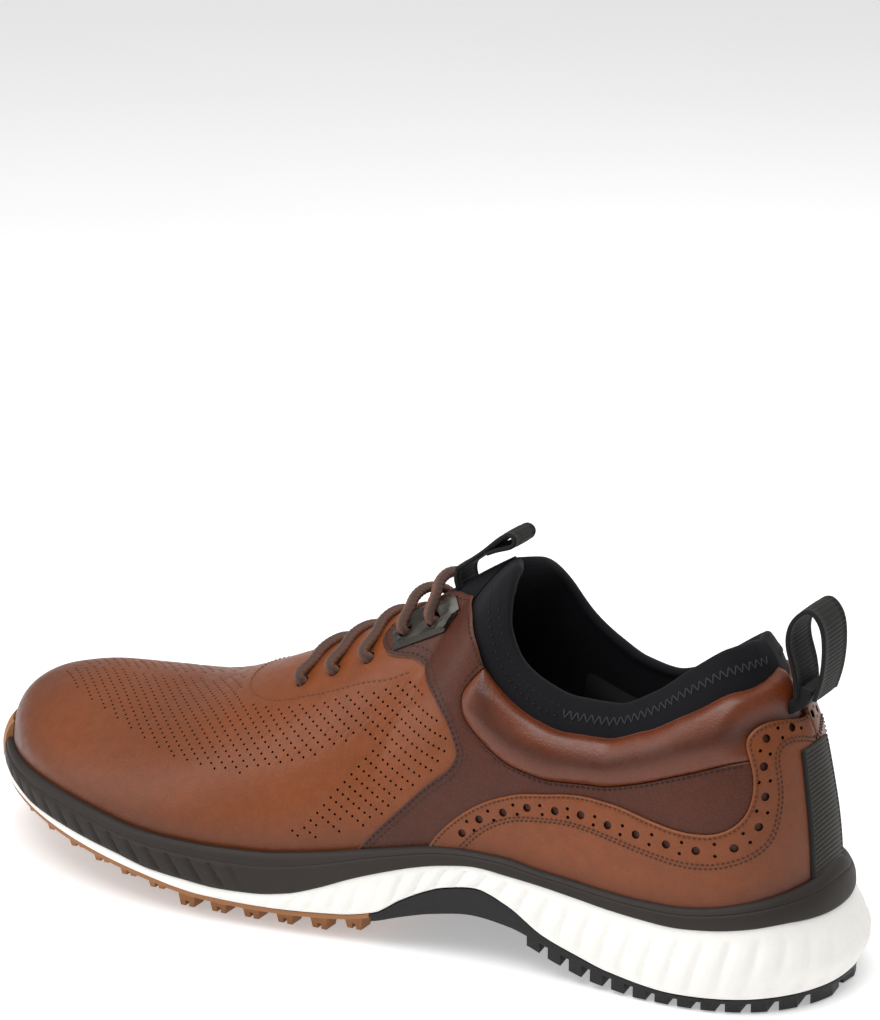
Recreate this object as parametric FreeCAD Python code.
import FreeCAD, Part
import math, os

# A left shoe with a neoprene bootie, laced leather upper and lugged sole, one solid file per piece.
# +X towards the toe, +Y lateral side, +Z up, ground at Z = 0, millimetres.
# X = 0 is the back of the upper's lower edge. Saved pieces are moved to the footprint's middle.

V = FreeCAD.Vector
os.makedirs("parts", exist_ok=True)

# ------------------------------------------------------------------ driving dimensions
CENTRE_X, CENTRE_Y = 140.13, 1.23    # middle of the footprint box
SIDES = ((1, "lateral"), (-1, "medial"))
WIDTH_SCALE = 0.987      # on the widths of the plan outline

# upper
LEATHER_T = 1.3          # outer leather
LINING_T = 0.9
NEOPRENE_T = 2.4
COUNTER_T = 1.4
TOE_PUFF_T = 1.1
OVERLAY_T = 1.2
STRIP_T = 1.0
PLATE_T = 1.6            # eyelet plate
LAYER_GAP = 0.3          # between inner layers
SKIN_GAP = 0.25          # between the skin and what lies on it
SEAM = 0.2               # half the gap between neighbouring panels
SIDE_GAP = 0.2           # from the middle plane to each side's panels
EDGE_LIFT = 0.35         # lower edges above the floor or the feather line
INNER_DEPTH = 1.7        # skin to the first layer inside the leather
FOAM_DEPTH = INNER_DEPTH + NEOPRENE_T + LAYER_GAP
FOAM_EDGE_T = 0.7        # collar foam at its upper and lower edges
FOAM_SWELL = 4.6         # extra foam at the middle of its height
LINING_SETBACK = 0.9     # foam to ankle lining
COLLAR_X = 96            # where foam and ankle lining end
COLLAR_MARGIN = 2.0      # foam and ankle lining below the topline
STRIP_HALF = 8.5         # heel strip half width
LOOP_W, LOOP_T = 16.0, 1.4    # heel loop webbing
TAB_W, TAB_T = 13.0, 1.4      # tongue tab webbing

# laces
LACE_D = 3.8
HOLE_D = 4.8
LACE_CLEARANCE = 0.25

# sole
BOARD_T = 1.9
FOOTBED_T = 4.4
COVER_T = 1.0
BOARD_Z = 0.15                               # heights above the midsole floor
FOOTBED_Z = BOARD_Z + BOARD_T + 0.2
COVER_Z = FOOTBED_Z + FOOTBED_T + 0.15
SHEET_T = 1.4            # forefoot rubber sheet
SHEET_GAP = 0.15         # sheet below the midsole
LUG_GAP = 0.12           # forefoot lugs below the sheet
SPLIT_X = 190.0          # toe-flex line
SHANK_W = 20.0
SHANK_X0, SHANK_X1 = 45.0, 150.0
SHANK_GAP = 0.4          # around the shank in its pocket
SOLE_X0, SOLE_X1 = -16, 292    # range of the full-length height bands

# ------------------------------------------------------------------ measured lines
# plan outline of the upper's lower edge, heel to toe: X, Y
LATERAL_OUTLINE = [
    (0, 0), (0.9, 8), (4, 16), (14, 27), (30, 32.5), (55, 33.5), (80, 34), (105, 36), (130, 40),
    (155, 44.5), (180, 48), (203, 49), (225, 46.5), (246, 40.5), (265, 30), (279, 15), (283.2, 6),
    (284, -2)]
MEDIAL_OUTLINE = [
    (0, 0), (0.9, -8), (4, -16), (14, -26.5), (33, -31.5), (60, -31.5), (90, -29.5),
    (115, -29.5), (140, -32.5), (165, -38.5), (188, -44), (208, -46.5), (231, -45.5), (253, -40),
    (271, -30), (281, -17), (283.6, -9), (284, -2)]

# feather line: height of the upper's lower edge
FEATHER_X = [0, 2, 8, 16, 25, 35, 45, 56, 67, 77, 88, 101, 109, 122, 133, 143, 154, 164, 175, 186,
             198, 210, 224, 239, 257, 274, 284]
FEATHER_Z = [36.6, 34.4, 32.4, 30.7, 29.1, 28.3, 28.3, 28.9, 30.0, 31.0, 32.7, 33.0, 32.5, 30.2,
             28.0, 25.8, 23.9, 22.5, 21.9, 21.6, 21.7, 22.3, 24.2, 26.0, 27.4, 28.2, 28.3]
# floor inside the midsole
FLOOR_X = [-15, 0, 30, 60, 80, 96, 106, 120, 130, 160, 200, 240, 260, 275, 284, 300]
FLOOR_Z = [27.0, 26.0, 22.2, 22.4, 25.0, 27.2, 26.8, 24.0, 21.3, 16.9, 14.8, 19.3, 22.3, 24.3,
           25.3, 26.6]
# line where the foxing band meets the midsole
FOXING_X = [-16, -3, 6, 14, 23, 33, 43, 53, 64, 75, 86, 96, 107, 115, 125, 136, 146, 156, 167,
            178, 190, 202, 214, 228, 236, 252, 260, 275, 292]
FOXING_Z = [25.0, 25.8, 26.3, 25.4, 24.5, 24.0, 24.6, 25.4, 26.8, 28.2, 29.3, 30.2, 28.9, 27.2,
            24.2, 20.3, 16.1, 12.8, 11.2, 10.9, 11.8, 12.9, 15.1, 17.0, 18.1, 20.2, 22.0, 24.4,
            26.0]
# underside of the midsole
UNDERSIDE_X = [-16, 0, 31, 52, 63, 74, 86, 96, 106, 113, 120, 128, 140, 161, 183, 206, 234, 252,
               260, 275, 292]
UNDERSIDE_Z = [5.6, 4.6, 3.9, 6.2, 9.1, 12.8, 20.0, 23.3, 21.8, 19.2, 15.5, 10.5, 8.2, 7.2, 7.8,
               11.0, 15.2, 18.3, 19.8, 22.2, 24.0]
# underside of the heel and arch rubber
ARCH_X = [-16, 0, 31, 52, 63, 74, 85, 97, 110, 120, 129, 140]
ARCH_Z = [4.2, 3.2, 2.4, 4.4, 6.6, 9.8, 13.2, 14.6, 12.8, 10.2, 7.6, 6.6]
# ridge along the top of the instep and toe
RIDGE_X = [104, 114, 124, 134, 144, 155, 165, 180, 194, 205, 217, 232, 243, 254, 262]
RIDGE_Z = [114.5, 108.5, 102.3, 95.8, 89, 82, 76, 69, 62.8, 58.3, 55, 53, 51.8, 51, 50]
RIDGE_Y = [0, 0, 0, 0, -0.5, -1, -1.5, -2.5, -3.5, -4, -4.5, -5, -5.5, -5.5, -5.5]

# rim of the ankle opening: X on the lower edge, then X, Y, Z on the rim
RIM = {
    1: [(0, 23, 0, 101.8), (4, 24, 5, 102.3), (14, 28, 12.5, 101.5), (30, 38, 17, 95),
        (45, 49, 19.2, 86.5), (60, 60, 20.7, 81.6), (75, 71.5, 21.7, 81.8), (88, 81, 22.5, 84.8),
        (98, 89, 22.8, 90), (106, 94, 22, 99), (114, 96.5, 18, 110), (124, 99, 10, 115.5),
        (136, 104, 0, 114.5)],
    -1: [(0, 23, 0, 101.8), (4, 24, -5, 101.8), (14, 28, -12, 99.5), (30, 38, -16.5, 92.5),
         (45, 49, -18.5, 84), (60, 60, -20, 80.3), (75, 70, -21.3, 81.6), (88, 80, -22.3, 86),
         (98, 88, -22.8, 92), (106, 93.5, -22, 99.5), (114, 97.5, -18, 107),
         (124, 100, -10, 112.5), (136, 104, 0, 114.5)]}

# panel lines in side view: X, Z
EYESTAY = [
    (140, 87.5), (140.5, 86.5), (138.5, 84.3), (135, 83.3), (127, 84), (121, 81.5), (114, 76),
    (108, 69), (105.3, 63), (107, 58), (114, 51.5), (123, 42), (131, 33.5), (138, 25), (146, 14)]
COLLAR_LOW = [
    (-20, 77), (8, 75.5), (18, 73), (33, 68), (45, 63.6), (58, 60), (70, 59), (82, 60),
    (90, 62.5), (99, 69), (103, 75), (104.8, 81), (103.6, 87), (101, 93)]
TOPLINE = [
    (-20, 93), (10, 92.6), (19, 92.2), (24, 91), (31, 87), (38, 83), (46, 78.3), (54, 75),
    (62, 73.2), (70, 73), (78, 74), (85, 76.6), (91, 80.4), (96, 86), (100, 92), (104, 98)]
QUARTER_TOP = [(90, 93), (96, 96), (101, 97.8), (106, 100.5), (110, 102.0), (114, 103.8),
               (119, 106)]
HEEL_TOP = [
    (118, 22), (113.5, 33), (109, 38), (103, 44), (93, 50), (83, 54), (68, 56.3), (57, 56),
    (46, 54.2), (36, 52.3), (28, 52), (21, 53.2), (16.6, 57), (15.2, 63), (16.6, 72), (18, 79),
    (16, 82), (11, 84), (-20, 85)]
BOOTIE_LOW = [(x, z - 12.0) for x, z in TOPLINE[:-2]] + [(104, 82), (108, 88)]
LINING_EDGE = [(76.6, 61.2), (84, 63.6), (91, 67.4), (96, 73), (101, 77.5), (104, 81),
               (107.6, 86.8)]
PLATE_HEX = [(136.5, 88), (133.5, 84.5), (117.5, 92.5), (114.8, 97.5), (120, 101.5),
             (124, 101.5)]
# middle lines of the webbing in side view: X, Z
LOOP = [(9.3, 88.6), (9.9, 93.5), (11.4, 100), (12.9, 106), (12.7, 112), (10.4, 117),
        (6.6, 119), (3.3, 116.4), (1.8, 110.5), (2.3, 103), (4.3, 95.5), (6.9, 88.6)]
TAB = [(119.5, 109.2), (114, 112.8), (108, 117.0), (102, 121.2), (96.6, 124.6), (93.6, 125.0),
       (93.0, 122.6), (95.6, 120.4), (100.4, 118.2), (104.5, 115.9)]
# plan shapes symmetric about Y = 0: X, half width
TONGUE_PLAN = [(108.4, 21), (135, 17), (178, 9)]
TONGUE_OPENING = [(100, 22), (108.4, 21.6), (135, 17.6), (178.5, 9.6)]
# lace holes: X, half width across the throat
VAMP_HOLES = [(167, 20.5), (155.5, 20), (143.5, 19.5)]
PLATE_HOLES = [(131.5, 15.5), (122.5, 14.5)]


# ------------------------------------------------------------------ curves and vectors
def curve(xs, ys):
    """function of x through the stations, without overshoot, constant beyond both ends"""
    count = len(xs)
    steep = [(ys[i + 1] - ys[i]) / (xs[i + 1] - xs[i]) for i in range(count - 1)]
    slopes = [steep[0]]
    for a, b in zip(steep[:-1], steep[1:]):
        slopes.append(0.0 if a * b <= 0 else 2 * a * b / (a + b))
    slopes.append(steep[-1])

    def value(x):
        if x <= xs[0]:
            return ys[0]
        if x >= xs[-1]:
            return ys[-1]
        i = 0
        while x > xs[i + 1]:
            i += 1
        step = xs[i + 1] - xs[i]
        u = (x - xs[i]) / step
        return (ys[i] * (1 + 2 * u) * (1 - u) ** 2 + slopes[i] * step * u * (1 - u) ** 2
                + ys[i + 1] * u * u * (3 - 2 * u) - slopes[i + 1] * step * u * u * (1 - u))

    return value


def natural_spline(params, points):
    """function of the parameter: natural cubic spline through points of any dimension"""
    count, size = len(params), len(points[0])
    step = [params[i + 1] - params[i] for i in range(count - 1)]
    low, diag, high = [0.0] * count, [1.0] * count, [0.0] * count
    right = [[0.0] * size for _ in range(count)]
    for i in range(1, count - 1):
        low[i], diag[i], high[i] = step[i - 1], 2 * (step[i - 1] + step[i]), step[i]
        for k in range(size):
            right[i][k] = 6 * ((points[i + 1][k] - points[i][k]) / step[i]
                               - (points[i][k] - points[i - 1][k]) / step[i - 1])
    for i in range(1, count):
        factor = low[i] / diag[i - 1]
        diag[i] -= factor * high[i - 1]
        for k in range(size):
            right[i][k] -= factor * right[i - 1][k]
    bend = [[0.0] * size for _ in range(count)]
    bend[-1] = [value / diag[-1] for value in right[-1]]
    for i in range(count - 2, -1, -1):
        bend[i] = [(right[i][k] - high[i] * bend[i + 1][k]) / diag[i] for k in range(size)]

    def value(t):
        i, end = 0, count - 1
        while end - i > 1:
            middle = (i + end) // 2
            if params[middle] <= t:
                i = middle
            else:
                end = middle
        a = (params[i + 1] - t) / step[i]
        b = 1 - a
        return tuple(a * p + b * q + ((a ** 3 - a) * m + (b ** 3 - b) * n) * step[i] ** 2 / 6
                     for p, q, m, n in zip(points[i], points[i + 1], bend[i], bend[i + 1]))

    return value


def bisect(is_below, steps):
    """value in 0..1 where is_below turns false"""
    low, high = 0.0, 1.0
    for _ in range(steps):
        middle = (low + high) / 2
        if is_below(middle):
            low = middle
        else:
            high = middle
    return (low + high) / 2


def cross(a, b):
    return (a[1] * b[2] - a[2] * b[1], a[2] * b[0] - a[0] * b[2], a[0] * b[1] - a[1] * b[0])


def unit(a):
    length = math.sqrt(sum(c * c for c in a)) or 1.0
    return tuple(c / length for c in a)


def negated(a):
    return tuple(-c for c in a)


def shifted(point, direction, distance):
    return tuple(p + distance * d for p, d in zip(point, direction))


feather_z = curve(FEATHER_X, FEATHER_Z)
floor_z = curve(FLOOR_X, FLOOR_Z)
foxing_z = curve(FOXING_X, FOXING_Z)
underside_z = curve(UNDERSIDE_X, UNDERSIDE_Z)
arch_z = curve(ARCH_X, ARCH_Z)
ridge_y = curve(RIDGE_X, RIDGE_Y)
ridge_z = curve(RIDGE_X, RIDGE_Z)
collar_low_z = curve(*zip(*COLLAR_LOW[:10]))
topline_z = curve(*zip(*TOPLINE[:-2]))


# ------------------------------------------------------------------ plan outline
def outline_ring():
    """closed outline heel, lateral, toe, medial: point function, total length, length at the toe"""
    points = [(x, y * WIDTH_SCALE) for x, y in LATERAL_OUTLINE + MEDIAL_OUTLINE[-2:0:-1]]
    overlap = 6
    looped = points[-overlap:] + points + points[:overlap]
    lengths = [0.0]
    for a, b in zip(looped[:-1], looped[1:]):
        lengths.append(lengths[-1] + math.hypot(b[0] - a[0], b[1] - a[1]))
    start = lengths[overlap]
    total = lengths[overlap + len(points)] - start
    toe = lengths[overlap + len(LATERAL_OUTLINE) - 1] - start
    spline = natural_spline([length - start for length in lengths], looped)
    return (lambda length: spline(length % total)), total, toe


outline_at, OUTLINE_LENGTH, TOE_LENGTH = outline_ring()


def outline_length(side, along):
    """outline length at a share of one side, along = 0 at the heel and 1 at the toe"""
    if side > 0:
        return TOE_LENGTH * along
    return OUTLINE_LENGTH - (OUTLINE_LENGTH - TOE_LENGTH) * along


def plan_point(side, along):
    """outline point and its outward plan normal"""
    length = outline_length(side, along)
    point, before, after = (outline_at(length + step) for step in (0, -0.5, 0.5))
    run_x, run_y = after[0] - before[0], after[1] - before[1]
    run = math.hypot(run_x, run_y)
    normal = (run_y / run, -run_x / run)
    if 30 < point[0] < 240:
        inside = (142.0, 0.0)
    else:
        inside = (60.0, 0.0) if point[0] <= 30 else (230.0, -2.0)
    if (point[0] - inside[0]) * normal[0] + (point[1] - inside[1]) * normal[1] < 0:
        normal = negated(normal)
    return point, normal


def along_at_x(side, x):
    return bisect(lambda along: outline_at(outline_length(side, along))[0] < x, 40)


# ------------------------------------------------------------------ skin of the upper
def ridge(x):
    x = max(RIDGE_X[0], min(RIDGE_X[-1], x))
    return (x, ridge_y(x), ridge_z(x))


def ridge_slope(x):
    x = max(RIDGE_X[0] + 1, min(RIDGE_X[-1] - 1, x))
    return (ridge(x + 1)[2] - ridge(x - 1)[2]) / 2


RIM_END_X = 136          # lower-edge X where the ankle rim gives way to the ridge
RIM_LINES = {side: [curve([row[0] for row in rows], [row[i] for row in rows]) for i in (1, 2, 3)]
             for side, rows in RIM.items()}
# Controls of the skin's columns, as functions of X on the lower edge.
# X on the ridge where a column ends
ridge_reach = curve([136, 150, 165, 182, 200, 218, 235, 250, 264, 275, 281, 284],
                    [104, 121, 140, 161, 183, 203, 220.5, 235, 248, 257, 260.5, 262])
# top handle: share of the ridge direction against the rim direction
ridge_share = curve([0, 92, 104, 114, 124, 136, 300], [0, 0, 0.12, 0.45, 0.85, 1, 1])
# ridge direction: share pointing at the lower edge, the rest straight sideways
toe_turn = curve([0, 150, 210, 284], [0, 0, 0.35, 1.0])
# rim direction: outward part
rim_flare = curve([0, 60, 100, 130], [0.85, 0.75, 0.6, 0.5])
# top handle: push towards the toe
toe_push = curve([0, 86, 98, 106, 114, 124, 136, 150, 172],
                 [0, 0, 0.3, 0.75, 1.0, 1.1, 0.9, 0.35, 0])
top_reach = curve([0, 30, 60, 90, 112, 136, 170, 200, 235, 265, 284],
                  [22, 20, 17, 17, 17, 15, 19, 23, 19, 17, 15])
base_reach = curve([0, 60, 112, 160, 200, 240, 284], [28, 22, 26, 22, 18, 16, 17.5])
# base handle: outward lean per unit of height
base_lean = curve([0, 10, 40, 100, 150, 200, 250, 284],
                  [-0.06, -0.03, 0.02, 0.03, 0.08, 0.14, 0.12, 0.02])


def column(side, along):
    """four cubic Bezier points from the lower edge up to the rim or ridge"""
    (x, y), (normal_x, normal_y) = plan_point(side, along)
    base = (x, y, feather_z(x))
    if x <= RIM_END_X and along < 0.75:
        top = tuple(line(x) for line in RIM_LINES[side])
    else:
        top = ridge(ridge_reach(x))
    run_x, run_y = x - top[0], y - top[1]
    run = math.hypot(run_x, run_y) or 1
    turn = toe_turn(x)
    out_x, out_y = unit((turn * run_x / run, (1 - turn) * side + turn * run_y / run))
    slope = ridge_slope(top[0])
    from_ridge = (out_x, out_y, slope * out_x)
    flare = rim_flare(x)
    from_rim = unit((flare * normal_x, flare * normal_y, -1.0))
    share, push = ridge_share(x), toe_push(x)
    pull = unit(tuple(share * a + (1 - share) * b + push * c
                      for a, b, c in zip(from_ridge, from_rim, (1.0, 0.0, slope))))
    lean = base_lean(x)
    base_handle = shifted(base, (normal_x * lean, normal_y * lean, 1), base_reach(x))
    return base, base_handle, shifted(top, pull, top_reach(x)), top


def bezier(points, rise):
    rest = 1 - rise
    return tuple(rest ** 3 * a + 3 * rest * rest * rise * b + 3 * rest * rise * rise * c
                 + rise ** 3 * d for a, b, c, d in zip(*points))


def skin_normal(side, along, rise):
    """outward unit normal of the skin"""
    back, ahead = max(0, along - 0.004), min(1, along + 0.004)
    below, above = max(0, rise - 0.01), min(1, rise + 0.01)
    start, end = bezier(column(side, back), rise), bezier(column(side, ahead), rise)
    forward = [b - a for a, b in zip(start, end)]
    points = column(side, along)
    upward = [b - a for a, b in zip(bezier(points, below), bezier(points, above))]
    normal = unit(cross(upward, forward))
    return normal if side > 0 else negated(normal)


# grid stations: X on the lower edge, and height shares of a column
STATION_X = [0, 1.2, 4.5, 11, 20, 32, 46, 60, 74, 86, 96, 104, 111, 118, 126, 136, 148, 162, 178,
             195, 212, 229, 244, 257, 268, 276, 281.5, 284]
RISES = [0, 0.12, 0.26, 0.4, 0.54, 0.68, 0.8, 0.9, 1.0]
ALONG = {side: [0.0] + [along_at_x(side, x) for x in STATION_X[1:-1]] + [1.0] for side in (1, -1)}
LAST = len(STATION_X) - 1
RIM_END = STATION_X.index(RIM_END_X)
REAR_END = STATION_X.index(126)
COLLAR_END = STATION_X.index(COLLAR_X)
U_PARAMS = [along * TOE_LENGTH for along in ALONG[1]]


def build_grid():
    """per side and station, a column of [point, outward normal]"""
    grid = {}
    for side in (1, -1):
        grid[side] = []
        for k, along in enumerate(ALONG[side]):
            points = column(side, along)
            nodes = [[bezier(points, rise), skin_normal(side, along, rise)] for rise in RISES]
            if k >= RIM_END:
                nodes[-1][1] = unit((-ridge_slope(nodes[-1][0][0]), 0.0, 1.0))
            grid[side].append(nodes)
    # both sides share their normals at the heel and the toe
    for k in (0, LAST):
        for left, right in zip(grid[1][k], grid[-1][k]):
            left[1] = right[1] = unit(shifted(left[1], right[1], 1))
    return grid


GRID = build_grid()


def skin_point(side, x, y):
    """skin point nearest to a plan position, and its normal turned upwards"""
    nearest = 1e9
    middle = along_at_x(side, min(283, x + 8))
    for i in range(-30, 41):
        along = min(1, max(0, middle + i * 0.006))
        points = column(side, along)
        for j in range(20, 51):
            point = bezier(points, j / 50.0)
            distance = (point[0] - x) ** 2 + (point[1] - y) ** 2
            if distance < nearest:
                nearest, found, place = distance, point, (along, j / 50.0)
    normal = skin_normal(side, *place)
    return found, normal if normal[2] >= 0 else negated(normal)


# ------------------------------------------------------------------ interpolated surfaces
def basis(i, degree, u, knots):
    """B-spline basis function i"""
    if degree == 0:
        at_end = u == knots[-1] and knots[i] < knots[i + 1] == knots[-1]
        return 1.0 if knots[i] <= u < knots[i + 1] or at_end else 0.0
    total = 0.0
    left, right = knots[i + degree] - knots[i], knots[i + degree + 1] - knots[i + 1]
    if left:
        total += (u - knots[i]) / left * basis(i, degree - 1, u, knots)
    if right:
        total += (knots[i + degree + 1] - u) / right * basis(i + 1, degree - 1, u, knots)
    return total


def inverse(matrix):
    size = len(matrix)
    rows = [list(row) + [1.0 if i == j else 0.0 for j in range(size)]
            for i, row in enumerate(matrix)]
    for i in range(size):
        pivot = max(range(i, size), key=lambda k: abs(rows[k][i]))
        rows[i], rows[pivot] = rows[pivot], rows[i]
        lead = rows[i][i]
        rows[i] = [value / lead for value in rows[i]]
        for k in range(size):
            if k != i and rows[k][i]:
                factor = rows[k][i]
                rows[k] = [a - factor * b for a, b in zip(rows[k], rows[i])]
    return [row[size:] for row in rows]


collocations = {}


def collocation(params):
    """matrix that turns points at the parameters into cubic poles, and the knots; cached"""
    key = tuple(params)
    if key not in collocations:
        count = len(params)
        inner = [sum(params[j:j + 3]) / 3.0 for j in range(1, count - 3)]
        knots = [params[0]] * 4 + inner + [params[-1]] * 4
        matrix = [[basis(j, 3, u, knots) for j in range(count)] for u in params]
        collocations[key] = (inverse(matrix), knots)
    return collocations[key]


def surface(points, v_params, u_params):
    """cubic surface through points[k][j], k along the shoe, j up"""
    u_matrix, u_knots = collocation(u_params)
    v_matrix, v_knots = collocation(v_params)
    rows, ups = range(len(points)), range(len(v_params))
    half = [[tuple(sum(u_matrix[i][k] * points[k][j][c] for k in rows) for c in range(3))
             for j in ups] for i in rows]
    poles = [[V(*(sum(v_matrix[j][m] * half[i][m][c] for m in ups) for c in range(3)))
              for j in ups] for i in rows]
    u_once, v_once = sorted(set(u_knots)), sorted(set(v_knots))
    u_counts = [4] + [1] * (len(u_once) - 2) + [4]
    v_counts = [4] + [1] * (len(v_once) - 2) + [4]
    result = Part.BSplineSurface()
    result.buildFromPolesMultsKnots(poles, u_counts, v_counts, u_once, v_once, False, False, 3, 3)
    return result


def ruled_u(outer, inner, u):
    return Part.makeRuledSurface(outer.uIso(u).toShape(), inner.uIso(u).toShape())


def ruled_v(outer, inner, v):
    return Part.makeRuledSurface(outer.vIso(v).toShape(), inner.vIso(v).toShape())


def sewn_solid(faces):
    shell = Part.makeShell(faces)
    shell.sewShape(5e-3)
    if shell.ShapeType != "Shell":
        shell = shell.Shells[0]
    solid = Part.Solid(shell)
    if solid.Volume < 0:
        solid.reverse()
    return solid


def offset_column(nodes, offset, skirt):
    """grid column moved along its normals; a skirt adds two points down to the floor"""
    moved = [shifted(point, normal, offset) for point, normal in nodes]
    point, normal = nodes[0]
    x, y, z = shifted(point, unit((normal[0], normal[1], 0.0)), offset)
    if not skirt:
        return [(x, y, z + EDGE_LIFT)] + moved[1:]
    bottom = floor_z(point[0]) + EDGE_LIFT
    return [(x, y, bottom), (x, y, (bottom + z) / 2), (x, y, z)] + moved[1:]


def layer(outer_offset, inner_offset, skirt=True, rear=False):
    """solid of the whole upper, or its rear, between two skin offsets, + outwards"""
    v_params = ([-8.0, -4.0] if skirt else []) + [90 * rise for rise in RISES]
    spans = [(0, REAR_END)] if rear else [(0, RIM_END), (RIM_END, LAST)]
    faces = []
    for side in (1, -1):
        skins = []
        for offset in (outer_offset, inner_offset):
            rows = [offset_column(nodes, offset, skirt) for nodes in GRID[side]]
            skins.append([surface(rows[a:b + 1], v_params, U_PARAMS[a:b + 1]) for a, b in spans])
        if rear:
            faces.append(ruled_u(skins[0][0], skins[1][0], U_PARAMS[REAR_END]))
        for i, (outer, inner) in enumerate(zip(*skins)):
            faces += [outer.toShape(), inner.toShape(), ruled_v(outer, inner, v_params[0])]
            if i == 0:
                faces.append(ruled_v(outer, inner, v_params[-1]))
    return sewn_solid(faces)


def inner_layer(thickness, **options):
    """layer just inside the leather"""
    return layer(-INNER_DEPTH, -INNER_DEPTH - thickness, **options)


def collar_band(low_z, high_z, outer_offset, inner_offset, rows):
    """solid round the heel between two height lines; offsets are functions of
    X and of the height share within the band"""
    v_params = [12.0 * j for j in range(rows)]
    faces = []
    for side in (1, -1):
        columns = []
        for k in range(COLLAR_END + 1):
            along = ALONG[side][k]
            points = column(side, along)

            def rise_at(line_z):
                def is_below(rise):
                    x, _, z = bezier(points, rise)
                    return z < line_z(x)
                return bisect(is_below, 30)

            low, high = rise_at(low_z), rise_at(high_z)
            nodes = []
            for j in range(rows):
                rise = low + (high - low) * j / (rows - 1)
                normal = skin_normal(side, along, rise)
                if k == 0:
                    mean = unit(shifted(normal, skin_normal(-side, 0.0, rise), 1))
                    normal = unit((mean[0], 0.0, mean[2]))
                nodes.append((bezier(points, rise), normal, points[0][0], j / (rows - 1)))
            columns.append(nodes)
        outer, inner = (
            surface([[shifted(point, normal, offset(x, share)) for point, normal, x, share in nodes]
                     for nodes in columns], v_params, U_PARAMS[:COLLAR_END + 1])
            for offset in (outer_offset, inner_offset))
        faces += [outer.toShape(), inner.toShape()]
        faces += [ruled_v(outer, inner, v) for v in (v_params[0], v_params[-1])]
        faces.append(ruled_u(outer, inner, U_PARAMS[COLLAR_END]))
    return sewn_solid(faces)


# ------------------------------------------------------------------ cutting prisms
def box(x0, x1, y0, y1, z0, z1):
    return Part.makeBox(x1 - x0, y1 - y0, z1 - z0, V(x0, y0, z0))


def spline_curve(points, **options):
    result = Part.BSplineCurve()
    result.interpolate([V(*p) for p in points], **options)
    return result


def polygon(points):
    return Part.makePolygon([V(*p) for p in points + [points[0]]])


def plan_prism(points, z, height):
    return Part.Face(polygon([(x, y, z) for x, y in points])).extrude(V(0, 0, height))


def mirrored_prism(half, z, height):
    """plan prism symmetric about Y = 0 from its X and half-width stations"""
    return plan_prism([(x, -w) for x, w in half] + [(x, w) for x, w in half[::-1]], z, height)


def shift_left(points, distance):
    """open plane polyline moved to its left"""
    moved = []
    for i, (x, y) in enumerate(points):
        a, b = points[max(0, i - 1)], points[min(len(points) - 1, i + 1)]
        run_x, run_y = b[0] - a[0], b[1] - a[1]
        run = math.hypot(run_x, run_y) or 1
        moved.append((x - run_y / run * distance, y + run_x / run * distance))
    return moved


def side_region(line, corners):
    """prism across the shoe: a smooth side-view line closed through straight corners"""
    y = -90.0
    edges = [spline_curve([(x, y, z) for x, z in line]).toShape()]
    closing = [line[-1]] + corners + [line[0]]
    for a, b in zip(closing[:-1], closing[1:]):
        edges.append(Part.makeLine(V(a[0], y, a[1]), V(b[0], y, b[1])))
    return Part.Face(Part.Wire(edges)).extrude(V(0, -2 * y, 0))


def strip_prism(low, high, y0, width):
    """prism along Y between two side-view splines joined by straight ends"""
    low, high = [[(x, y0, z) for x, z in line] for line in (low, high)]
    start = Part.makeLine(V(*low[0]), V(*high[0]))
    end = Part.makeLine(V(*low[-1]), V(*high[-1]))
    edges = [spline_curve(low).toShape(), end, spline_curve(high).toShape(), start]
    return Part.Face(Part.Wire(Part.__sortEdges__(edges))).extrude(V(0, width, 0))


def height_band(low_z, high_z, x0=SOLE_X0, x1=SOLE_X1, half_width=80, steps=40):
    """prism along Y between two height functions"""
    xs = [x0 + (x1 - x0) * i / steps for i in range(steps + 1)]
    low, high = [[(x, f(x)) for x in xs] for f in (low_z, high_z)]
    return strip_prism(low, high, -half_width, 2 * half_width)


def floor_band(low, high, *limits):
    """height band between two distances above the midsole floor"""
    return height_band(lambda x: floor_z(x) + low, lambda x: floor_z(x) + high, *limits)


# shares of a side where the sole outlines take a point
RING_ALONG = [0.0, 0.02, 0.05, 0.09, 0.14, 0.20, 0.27, 0.34, 0.41, 0.48, 0.55, 0.62, 0.69, 0.75,
              0.81, 0.86, 0.90, 0.94, 0.97]


def value_at(value, x):
    return value(x) if callable(value) else value


def ring_wire(offset, z):
    """closed outline offset outwards; offset and z are numbers or functions of X"""
    points = []
    for side, shares in ((1, RING_ALONG + [1.0]), (-1, RING_ALONG[:0:-1])):
        for along in shares:
            point, normal = plan_point(side, along)
            x, y = shifted(point, normal, value_at(offset, point[0]))
            points.append((x, y, value_at(z, x)))
    return Part.Wire(spline_curve(points, PeriodicFlag=True).toShape())


def ring_prism(offset, z0=-20.0, z1=70.0):
    return Part.Face(ring_wire(offset, z0)).extrude(V(0, 0, z1 - z0))


def ring_loft(levels):
    """ruled loft through (offset, z) levels"""
    return Part.makeLoft([ring_wire(offset, z) for offset, z in levels], True, True)


# ------------------------------------------------------------------ saving
def without_slivers(shape):
    solids = [solid for solid in shape.Solids if solid.Volume > 0.5]
    return solids[0] if len(solids) == 1 else Part.makeCompound(solids)


def save(name, shape):
    moved = without_slivers(shape).copy()
    moved.translate(V(-CENTRE_X, -CENTRE_Y, 0.0))
    moved.exportStep("parts/%s.step" % name)


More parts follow.
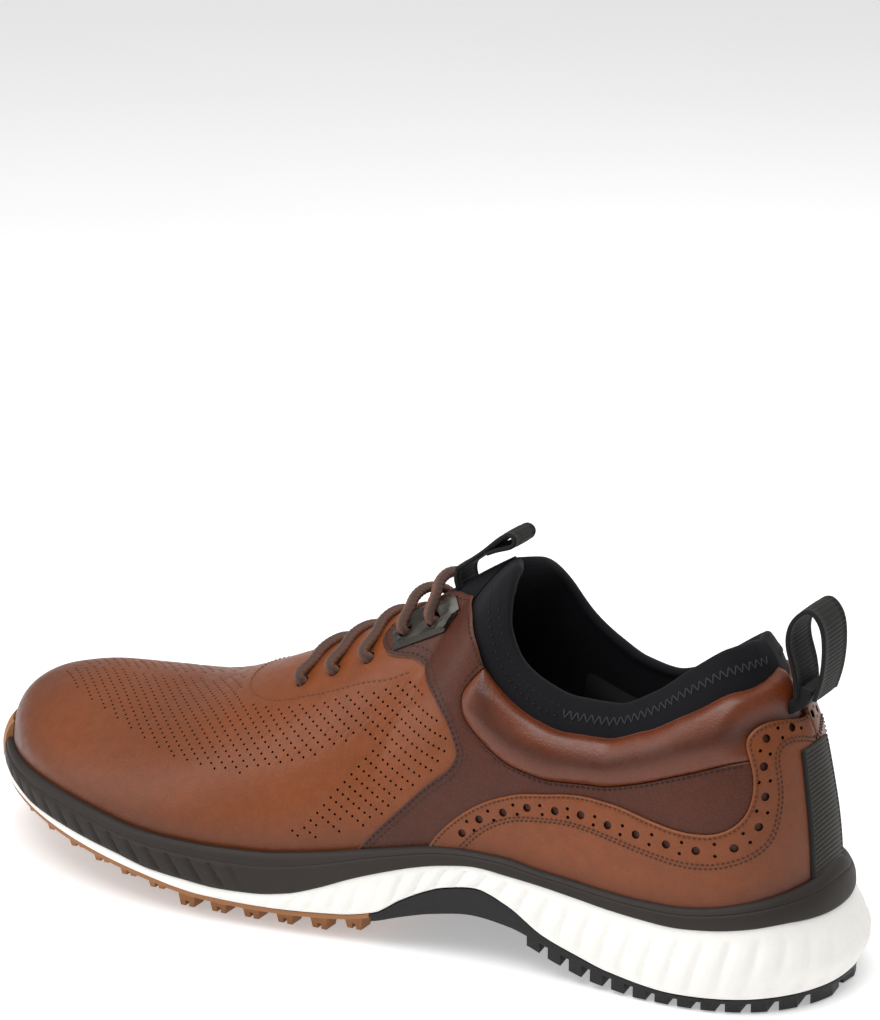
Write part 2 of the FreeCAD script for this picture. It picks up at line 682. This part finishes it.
# ------------------------------------------------------------------ sole
# outward offsets from the plan outline, as functions of X
OFFSET_X = [-1, 4, 20, 60, 110, 200, 284]
midsole_offset = curve(OFFSET_X, [10.6, 9.4, 7.4, 6.6, 4.6, 5.4, 3.6])
midsole_low_offset = curve(OFFSET_X, [7.2, 6.6, 5.8, 5.2, 4.2, 4.6, 2.6])
rubber_offset = curve(OFFSET_X, [6.6, 6.0, 5.2, 4.6, 3.8, 4.2, 2.4])
heel_lug_offset = curve([-1, 4, 20, 60, 110, 284], [6.2, 5.6, 4.8, 4.2, 2.5, 1.0])
insole_offset = curve([0, 90, 130, 245, 284], [-7.2, -7.2, -5.2, -5.4, -7.0])
heel_lug_z = curve([-16, 0, 43, 46, 58, 70, 82, 100], [-1.0, -1.0, -1.0, 0.05, 1.6, 4.8, 8.8, 10.5])


def foxing_body(extra=0.0):
    low, top = 4.9 + extra, 0.9 + extra
    return ring_loft([(low, -20.0), (low, lambda x: foxing_z(x) - 3),
                      (top, lambda x: feather_z(x) + 3), (top, 70.0)])


def foxing_band(cup):
    zone = height_band(lambda x: foxing_z(x) + 0.2, feather_z)
    return foxing_body().common(zone).cut(cup)


def midsole(cup):
    """full-length midsole, hollowed above the floor and pocketed for the shank"""
    body = ring_loft([
        (midsole_low_offset, -20.0),
        (midsole_low_offset, lambda x: underside_z(x) - 2.0),
        (midsole_offset, lambda x: underside_z(x) + 0.42 * (foxing_z(x) - underside_z(x))),
        (4.2, lambda x: foxing_z(x) + 2.0),
        (4.2, 70.0)])
    body = body.common(height_band(underside_z, foxing_z, steps=90))
    body = body.cut(cup.common(height_band(floor_z, lambda x: 60.0)))
    return body.cut(floor_band(-2.3, 3, SHANK_X0 - SHANK_GAP, SHANK_X1 + SHANK_GAP,
                               SHANK_W / 2 + SHANK_GAP))


def shank():
    return floor_band(-2.0, -0.5, SHANK_X0, SHANK_X1, SHANK_W / 2)


def heel_lugs():
    """chevron bars, clipped to the ground and to the heel's plan"""
    bars = []
    for i in range(13):
        x = -9.0 + 7.0 * i
        for side in (1, -1):
            bars.append(plan_prism([(x + 4.5, side * 1.5), (x + 8.7, side * 1.5),
                                    (x + 3.2, side * 48), (x - 1.0, side * 48)], -2, 22))
    zone = ring_prism(heel_lug_offset).common(
        height_band(heel_lug_z, lambda x: arch_z(x) + 0.6, x1=84.0))
    lugs = Part.makeCompound(bars).common(zone).common(box(-30, 110, -60, 60, 0, 40))
    return [solid for solid in lugs.Solids if solid.Volume > 3.0]


def heel_outsole(rubber):
    zone = height_band(arch_z, lambda x: underside_z(x) - 0.4, x1=129.0, steps=90)
    return rubber.common(zone).fuse(heel_lugs()).removeSplitter()


def sheet_top(x):
    return underside_z(x) - SHEET_GAP


def forefoot_outsole(rubber):
    return rubber.common(height_band(lambda x: sheet_top(x) - SHEET_T, sheet_top, x0=129.6))


def toe_bumper():
    """moulded piece over the toe, clear of the foxing band and the upper"""
    body = ring_loft([(6.6, -20.0), (6.6, 20.0), (3.9, 30.0), (0.9, 43.0), (0.9, 70.0)])
    body = body.common(box(268, 300, -13, 9, 19.5, 40.5))
    body = body.cut(foxing_body(0.35).common(box(200, 320, -80, 80, 0, 29.2)))
    body = body.cut(layer(0.3, -9.0)).cut(ring_prism(-4.0, 0, 60))
    return max(body.Solids, key=lambda solid: solid.Volume)


def forefoot_lug(x, y, length, width, z0, z1):
    """block narrowing downwards, slotted across its bottom"""
    taper = 0.8

    def rectangle(inset, z):
        dx, dy = length / 2 - inset, width / 2 - inset
        return polygon([(x - dx, y - dy, z), (x + dx, y - dy, z),
                        (x + dx, y + dy, z), (x - dx, y + dy, z)])

    block = Part.makeLoft([rectangle(taper, z0), rectangle(0, z1)], True, True)
    return block.cut(box(x - 0.7, x + 0.7, y - width, y + width, z0 - 1, z0 + 1.8))


def forefoot_lugs():
    """rear and front groups, split near the flex line"""
    rear, front = [], []
    for i in range(13):
        row_x = 137.5 + 11.0 * i
        for side in (1, -1):
            edge_y = abs(plan_point(side, along_at_x(side, min(row_x, 279)))[0][1])
            for lane in range(3 if row_x < 240 else 2):
                y = side * (edge_y - 5.0 - 12.5 * lane)
                if abs(y) < 5.5:
                    continue
                x = row_x + (3.0 if lane == 1 else 0.0)
                top = sheet_top(x) - SHEET_T - LUG_GAP - (0.6 if 150 < x < 200 else 1.1)
                bottom = 0.0 if 146 < x < 197 else max(0.0, underside_z(x) - 1.55 - 5.4)
                group = front if x > SPLIT_X + 4 else rear
                group.append(forefoot_lug(x, y, 6.4, 7.0 if lane == 0 else 5.4, bottom, top))
    return Part.makeCompound(rear), Part.makeCompound(front)


def save_sole():
    cup = ring_prism(0.25)
    save("foxing_band", foxing_band(cup))
    save("midsole", midsole(cup))
    save("shank", shank())
    insole = ring_prism(insole_offset)
    for name, z, thickness in (("insole_board", BOARD_Z, BOARD_T),
                               ("footbed_foam", FOOTBED_Z, FOOTBED_T),
                               ("footbed_cover", COVER_Z, COVER_T)):
        save(name, insole.common(floor_band(z, z + thickness)))
    rubber = ring_prism(rubber_offset)
    save("heel_outsole", heel_outsole(rubber))
    save("forefoot_outsole", forefoot_outsole(rubber))
    save("toe_bumper", toe_bumper())
    rear, front = forefoot_lugs()
    save("forefoot_lugs_rear", rear)
    save("forefoot_lugs_front", front)


# ------------------------------------------------------------------ laces
def lace_ends(holes):
    """per row, the lateral and medial hole as (point, normal)"""
    return [[skin_point(side, x, side * half) for side in (1, -1)] for x, half in holes]


def hole_drills(rows, length):
    return [Part.makeCylinder(HOLE_D / 2, length, V(*shifted(point, normal, -4)), V(*normal))
            for row in rows for point, normal in row]


def tube(points, radius):
    path = spline_curve(points)
    tangent = path.tangent(path.FirstParameter)[0]
    circle = Part.Wire(Part.makeCircle(radius, V(*points[0]), tangent))
    return Part.Wire(path.toShape()).makePipeShell([circle], True, True)


def lace_row(row, lift, crown, radius):
    """cord from the lateral hole to the medial one; crown is its extra height in the middle"""
    (start, start_normal), (end, end_normal) = row
    points = [shifted(start, start_normal, -1.1), shifted(start, start_normal, 1.6)]
    for t in (0.22, 0.38, 0.5, 0.62, 0.78):
        x = start[0] + (end[0] - start[0]) * t
        y = start[1] + (end[1] - start[1]) * t
        z = ridge(x)[2] if abs(y) < 1 else skin_point(1 if y > 0 else -1, x, y)[0][2]
        points.append((x, y, z + LACE_D / 2 + lift + crown * math.sin(math.pi * t)))
    points += [shifted(end, end_normal, 1.6), shifted(end, end_normal, -1.1)]
    return tube(points, radius)


def lace_rows(radius):
    """the cords through the vamp and those over the plates"""
    return ([lace_row(row, 0.5, 0.6, radius) for row in VAMP_ENDS],
            [lace_row(row, 3.1, 0.8, radius) for row in PLATE_ENDS])


VAMP_ENDS = lace_ends(VAMP_HOLES)
PLATE_ENDS = lace_ends(PLATE_HOLES)
VAMP_DRILLS = hole_drills(VAMP_ENDS, 8)
PLATE_DRILLS = hole_drills(PLATE_ENDS, 9)


# ------------------------------------------------------------------ upper
SIDE_BOX = {1: box(-30, 320, SIDE_GAP, 90, -5, 140), -1: box(-30, 320, -90, -SIDE_GAP, -5, 140)}


def cut_all(shape, tools):
    for tool in tools:
        shape = shape.cut(tool)
    return shape


def quarter(leather, side):
    """side panel behind the eyestay line, below the collar, open along the throat"""
    zone = side_region(shift_left(EYESTAY, -SEAM), [(146, 2), (-30, 2), (-30, 141), (140, 141)])
    collar = side_region(shift_left(COLLAR_LOW, SEAM)[:-1] + [(101.0, 93.3)],
                         [(101.0, 140), (-20, 140)])
    half = 7.6
    throat = box(90, 128, -half, half, 60, 140)
    throat = throat.fuse(Part.makeCylinder(half, 80, V(128, 0, 60), V(0, 0, 1)))
    panel = leather.common(zone).cut(collar).cut(throat).common(SIDE_BOX[side])
    panel = panel.cut(side_region(QUARTER_TOP, [(119, 140), (90, 140)]))
    return cut_all(panel, PLATE_DRILLS)


def collar_panel(leather, side):
    zone = side_region(shift_left(COLLAR_LOW, SEAM)[:-1],
                       [(100.6, 93.2), (100.6, 140), (-20, 140)])
    above = side_region(TOPLINE, [(104, 150), (-20, 150)])
    return leather.common(zone).cut(above).common(SIDE_BOX[side])


def vamp(leather):
    panel = leather.cut(side_region(shift_left(EYESTAY, SEAM),
                                    [(146, 2), (-30, 2), (-30, 140), (140, 140)]))
    return cut_all(panel.cut(box(90, 136.3, -9, 9, 60, 140)), VAMP_DRILLS)


def heel_overlay(overlay, side):
    zone = side_region(HEEL_TOP, [(-20, 10), (118, 10)])
    below = height_band(lambda x: 5.0, lambda x: feather_z(x) + EDGE_LIFT)
    return overlay.common(zone).common(SIDE_BOX[side]).cut(below)


def heel_strip():
    """vertical strip over the heel overlays' middle seam"""
    inner = SKIN_GAP + OVERLAY_T + SKIN_GAP
    strip = layer(inner + STRIP_T, inner, skirt=False, rear=True)
    return strip.common(box(-20, 40, -STRIP_HALF, STRIP_HALF, 39.5, 71.0))


def bootie_collar(neoprene):
    return neoprene.common(side_region(BOOTIE_LOW, [(108, 150), (-20, 150)]))


def bootie_tongue(neoprene, clearances):
    """neoprene under the throat, grooved for the laces"""
    zone = mirrored_prism(TONGUE_PLAN, 20, 130).common(box(100, 200, -40, 40, 58, 140))
    return cut_all(without_slivers(neoprene.common(zone)), clearances)


def vamp_lining():
    zone = side_region(LINING_EDGE, [(107.6, 150), (330, 150), (330, 0), (76.6, 0)])
    collar = side_region([(x, z - 0.4) for x, z in BOOTIE_LOW[:-1]] + [(108.3, 87.6)],
                         [(108.3, 150), (-20, 150)])
    lining = inner_layer(LINING_T).common(zone)
    return lining.cut(mirrored_prism(TONGUE_OPENING, 40, 130)).cut(collar)


def heel_counter():
    return inner_layer(COUNTER_T, rear=True).common(box(-20, 76.2, -60, 60, -5, 57.5))


def toe_puff():
    outer = -INNER_DEPTH - LINING_T - LAYER_GAP
    return layer(outer, outer - TOE_PUFF_T).common(box(250, 320, -80, 80, 26, 80))


foam_fade = curve([0, 60, 86, 96], [1.0, 1.0, 0.75, 0.25])    # swell share along X


def foam_thickness(x, share):
    """collar foam, thickest in the middle of its height"""
    return FOAM_EDGE_T + FOAM_SWELL * math.sin(math.pi * share) * foam_fade(x)


def collar_top_z(x):
    return topline_z(x) - COLLAR_MARGIN


def collar_foam():
    return collar_band(lambda x: collar_low_z(x) - 4.0, collar_top_z,
                       lambda x, share: -FOAM_DEPTH,
                       lambda x, share: -FOAM_DEPTH - foam_thickness(x, share), rows=7)


def ankle_offset(x, share):
    """lining follows the foam, which takes up the upper part of its height"""
    foam_start = 0.56
    foam_share = (share - foam_start) / (1 - foam_start)
    foam = foam_thickness(x, foam_share) if foam_share > 0 else FOAM_EDGE_T
    return -FOAM_DEPTH - foam - LINING_SETBACK


def ankle_lining(foam):
    lining = collar_band(lambda x: floor_z(x) + 8.2, collar_top_z, ankle_offset,
                         lambda x, share: ankle_offset(x, share) - LINING_T, rows=11)
    return lining.cut(foam)


def eyelet_plate(plates, side, clearances):
    """six-sided plate over two lace holes"""
    y0 = 6.5 if side > 0 else -60
    outline = polygon([(x, y0, z) for x, z in PLATE_HEX])
    plate = plates.common(Part.Face(outline).extrude(V(0, 53.5, 0)))
    return cut_all(plate, PLATE_DRILLS + clearances)


def strap(path, thickness, width):
    """flat webbing along a side-view middle line"""
    return strip_prism(shift_left(path, thickness / 2), shift_left(path, -thickness / 2),
                       -width / 2, width)


def save_upper():
    leather = layer(0.0, -LEATHER_T)
    overlay = layer(SKIN_GAP + OVERLAY_T, SKIN_GAP, skirt=False, rear=True)
    plates = layer(SKIN_GAP + PLATE_T, SKIN_GAP, skirt=False)
    neoprene = inner_layer(NEOPRENE_T)
    vamp_clearances, plate_clearances = lace_rows(LACE_D / 2 + LACE_CLEARANCE)

    save("vamp", vamp(leather))
    for side, name in SIDES:
        save("quarter_" + name, quarter(leather, side))
        save("collar_panel_" + name, collar_panel(leather, side))
        save("heel_overlay_" + name, heel_overlay(overlay, side))
        save("eyelet_plate_" + name, eyelet_plate(plates, side, plate_clearances))
    save("heel_strip", heel_strip())
    save("bootie_collar", bootie_collar(neoprene))
    save("bootie_tongue", bootie_tongue(neoprene, vamp_clearances + plate_clearances))
    save("vamp_lining", vamp_lining())
    save("heel_counter", heel_counter())
    save("toe_puff", toe_puff())
    foam = without_slivers(collar_foam())
    save("collar_foam", foam)
    save("ankle_lining", ankle_lining(foam))
    vamp_cords, plate_cords = lace_rows(LACE_D / 2)
    save("lace", Part.makeCompound(vamp_cords + plate_cords))
    save("heel_loop", strap(LOOP, LOOP_T, LOOP_W))
    save("tongue_tab", strap(TAB, TAB_T, TAB_W))


save_sole()
save_upper()
